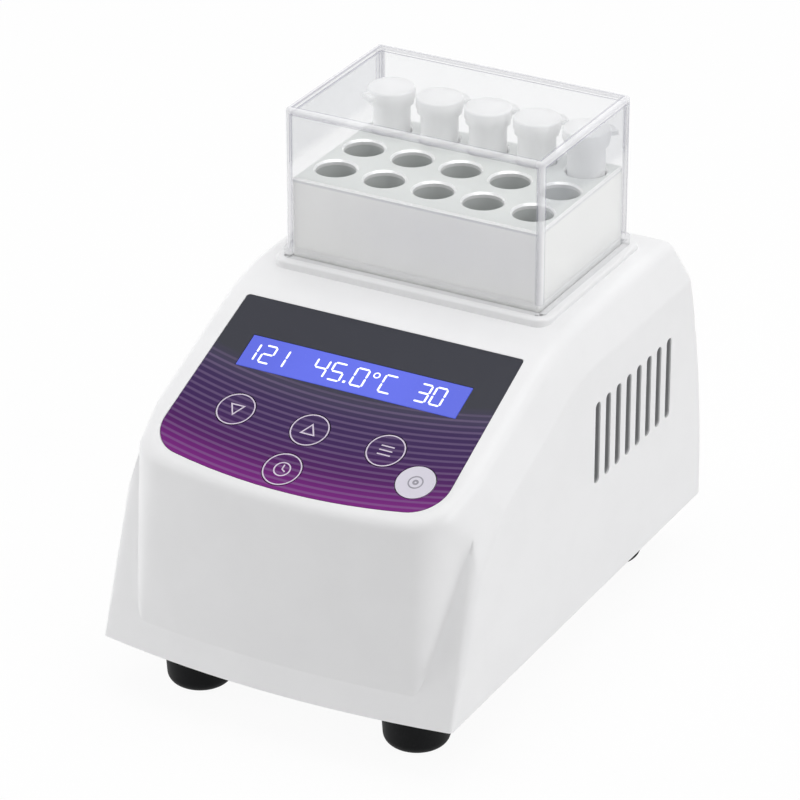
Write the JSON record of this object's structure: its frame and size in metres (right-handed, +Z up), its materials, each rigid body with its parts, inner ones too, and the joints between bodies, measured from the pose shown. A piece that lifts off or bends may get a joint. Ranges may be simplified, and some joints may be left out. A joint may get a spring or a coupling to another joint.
{
  "type": "dry block heater",
  "caption": "Bench-top dry block heater: sloping control panel on a moulded housing, aluminium tube block under a clear lift-off lid, rubber feet, rocker switch at the back.",
  "frame": {"origin": "centre of the overall box, on the surface the feet stand on", "axes": "+Z up, -Y towards the user at the sloping panel, +X to the user's right"},
  "size_m": [0.1046, 0.155, 0.143],
  "materials": {
    "housing_white": "moulded white, glossy",
    "overlay_print": "printed film",
    "window_clear": "clear window",
    "key_print": "printed key",
    "key_pale": "pale key",
    "block_metal": "fine satin",
    "tube_white": "moulded white",
    "lid_clear": "clear",
    "foot_rubber": "matt",
    "base_grey": "moulded",
    "screw_steel": "zinc plated",
    "board_green": "solder mask",
    "part_black": "moulded",
    "plug_white": "moulded",
    "ribbon_grey": "flexible",
    "mat_silicone": "silicone",
    "pad_fibre": "fibre board",
    "lcd_glass": "display glass",
    "lcd_light": "light guide",
    "jack_metal": "nickel plated"
  },
  "bodies": {
    "housing": {"upper_housing": "housing_white", "control_overlay": "overlay_print", "display_window": "window_clear", "heater_plate": "block_metal", "heatsink": "block_metal", "foot_front_left": "foot_rubber", "foot_front_right": "foot_rubber", "foot_rear_left": "foot_rubber", "foot_rear_right": "foot_rubber", "base_plate": "base_grey", "housing_screws": "screw_steel", "foot_screws": "screw_steel", "tray_screws": "screw_steel", "display_screws": "screw_steel", "main_board_screws": "screw_steel", "heater_tray": "screw_steel", "temperature_sensor": "screw_steel", "display_board": "board_green", "main_board": "board_green", "power_switch_body": "part_black", "mosfet": "part_black", "buzzer": "part_black", "microcontroller": "part_black", "display_header": "part_black", "ribbon_header": "part_black", "capacitor_1": "part_black", "capacitor_2": "part_black", "thermal_cutout": "part_black", "tact_switch_down": "part_black", "tact_switch_up": "part_black", "tact_switch_program": "part_black", "tact_switch_timer": "part_black", "tact_switch_set": "part_black", "power_connector": "plug_white", "ribbon_cable": "ribbon_grey", "heater_mat": "mat_silicone", "insulation_pad": "pad_fibre", "lcd_panel": "lcd_glass", "lcd_backlight": "lcd_light", "dc_jack": "jack_metal", "dc_jack_nut": "jack_metal"},
    "block": {"heating_block": "block_metal", "sample_tube_1": "tube_white", "sample_tube_2": "tube_white", "sample_tube_3": "tube_white", "sample_tube_4": "tube_white", "sample_tube_5": "tube_white"},
    "lid": {"clear_lid": "lid_clear"},
    "key_down": {"key_down": "key_print"},
    "key_up": {"key_up": "key_print"},
    "key_program": {"key_program": "key_print"},
    "key_timer": {"key_timer": "key_print"},
    "key_set": {"key_set": "key_pale"},
    "rocker": {"power_rocker": "part_black"}
  },
  "joints": [
    {"name": "block_lift", "type": "slide", "parent": "housing", "child": "block", "axis": [0, 0, 1], "range_m": [0, 0.045]},
    {"name": "lid_lift", "type": "slide", "parent": "block", "child": "lid", "axis": [0, 0, 1], "range_m": [0, 0.06]},
    {"name": "key_down_press", "type": "slide", "parent": "housing", "child": "key_down", "axis": [0, 0.3971, -0.9178], "range_m": [0, 0.0004], "stiffness_N_per_m": 2000, "springref_m": -0.0002},
    {"name": "key_up_press", "type": "slide", "parent": "housing", "child": "key_up", "axis": [0, 0.3971, -0.9178], "range_m": [0, 0.0004], "stiffness_N_per_m": 2000, "springref_m": -0.0002},
    {"name": "key_program_press", "type": "slide", "parent": "housing", "child": "key_program", "axis": [0, 0.3971, -0.9178], "range_m": [0, 0.0004], "stiffness_N_per_m": 2000, "springref_m": -0.0002},
    {"name": "key_timer_press", "type": "slide", "parent": "housing", "child": "key_timer", "axis": [0, 0.3971, -0.9178], "range_m": [0, 0.0004], "stiffness_N_per_m": 2000, "springref_m": -0.0002},
    {"name": "key_set_press", "type": "slide", "parent": "housing", "child": "key_set", "axis": [0, 0.3971, -0.9178], "range_m": [0, 0.0004], "stiffness_N_per_m": 2000, "springref_m": -0.0002},
    {"name": "rocker_tilt", "type": "hinge", "parent": "housing", "child": "rocker", "pos_m": [-0.012, 0.0719, 0.0425], "axis": [1, 0, 0], "range_deg": [0, 14]}
  ]
}
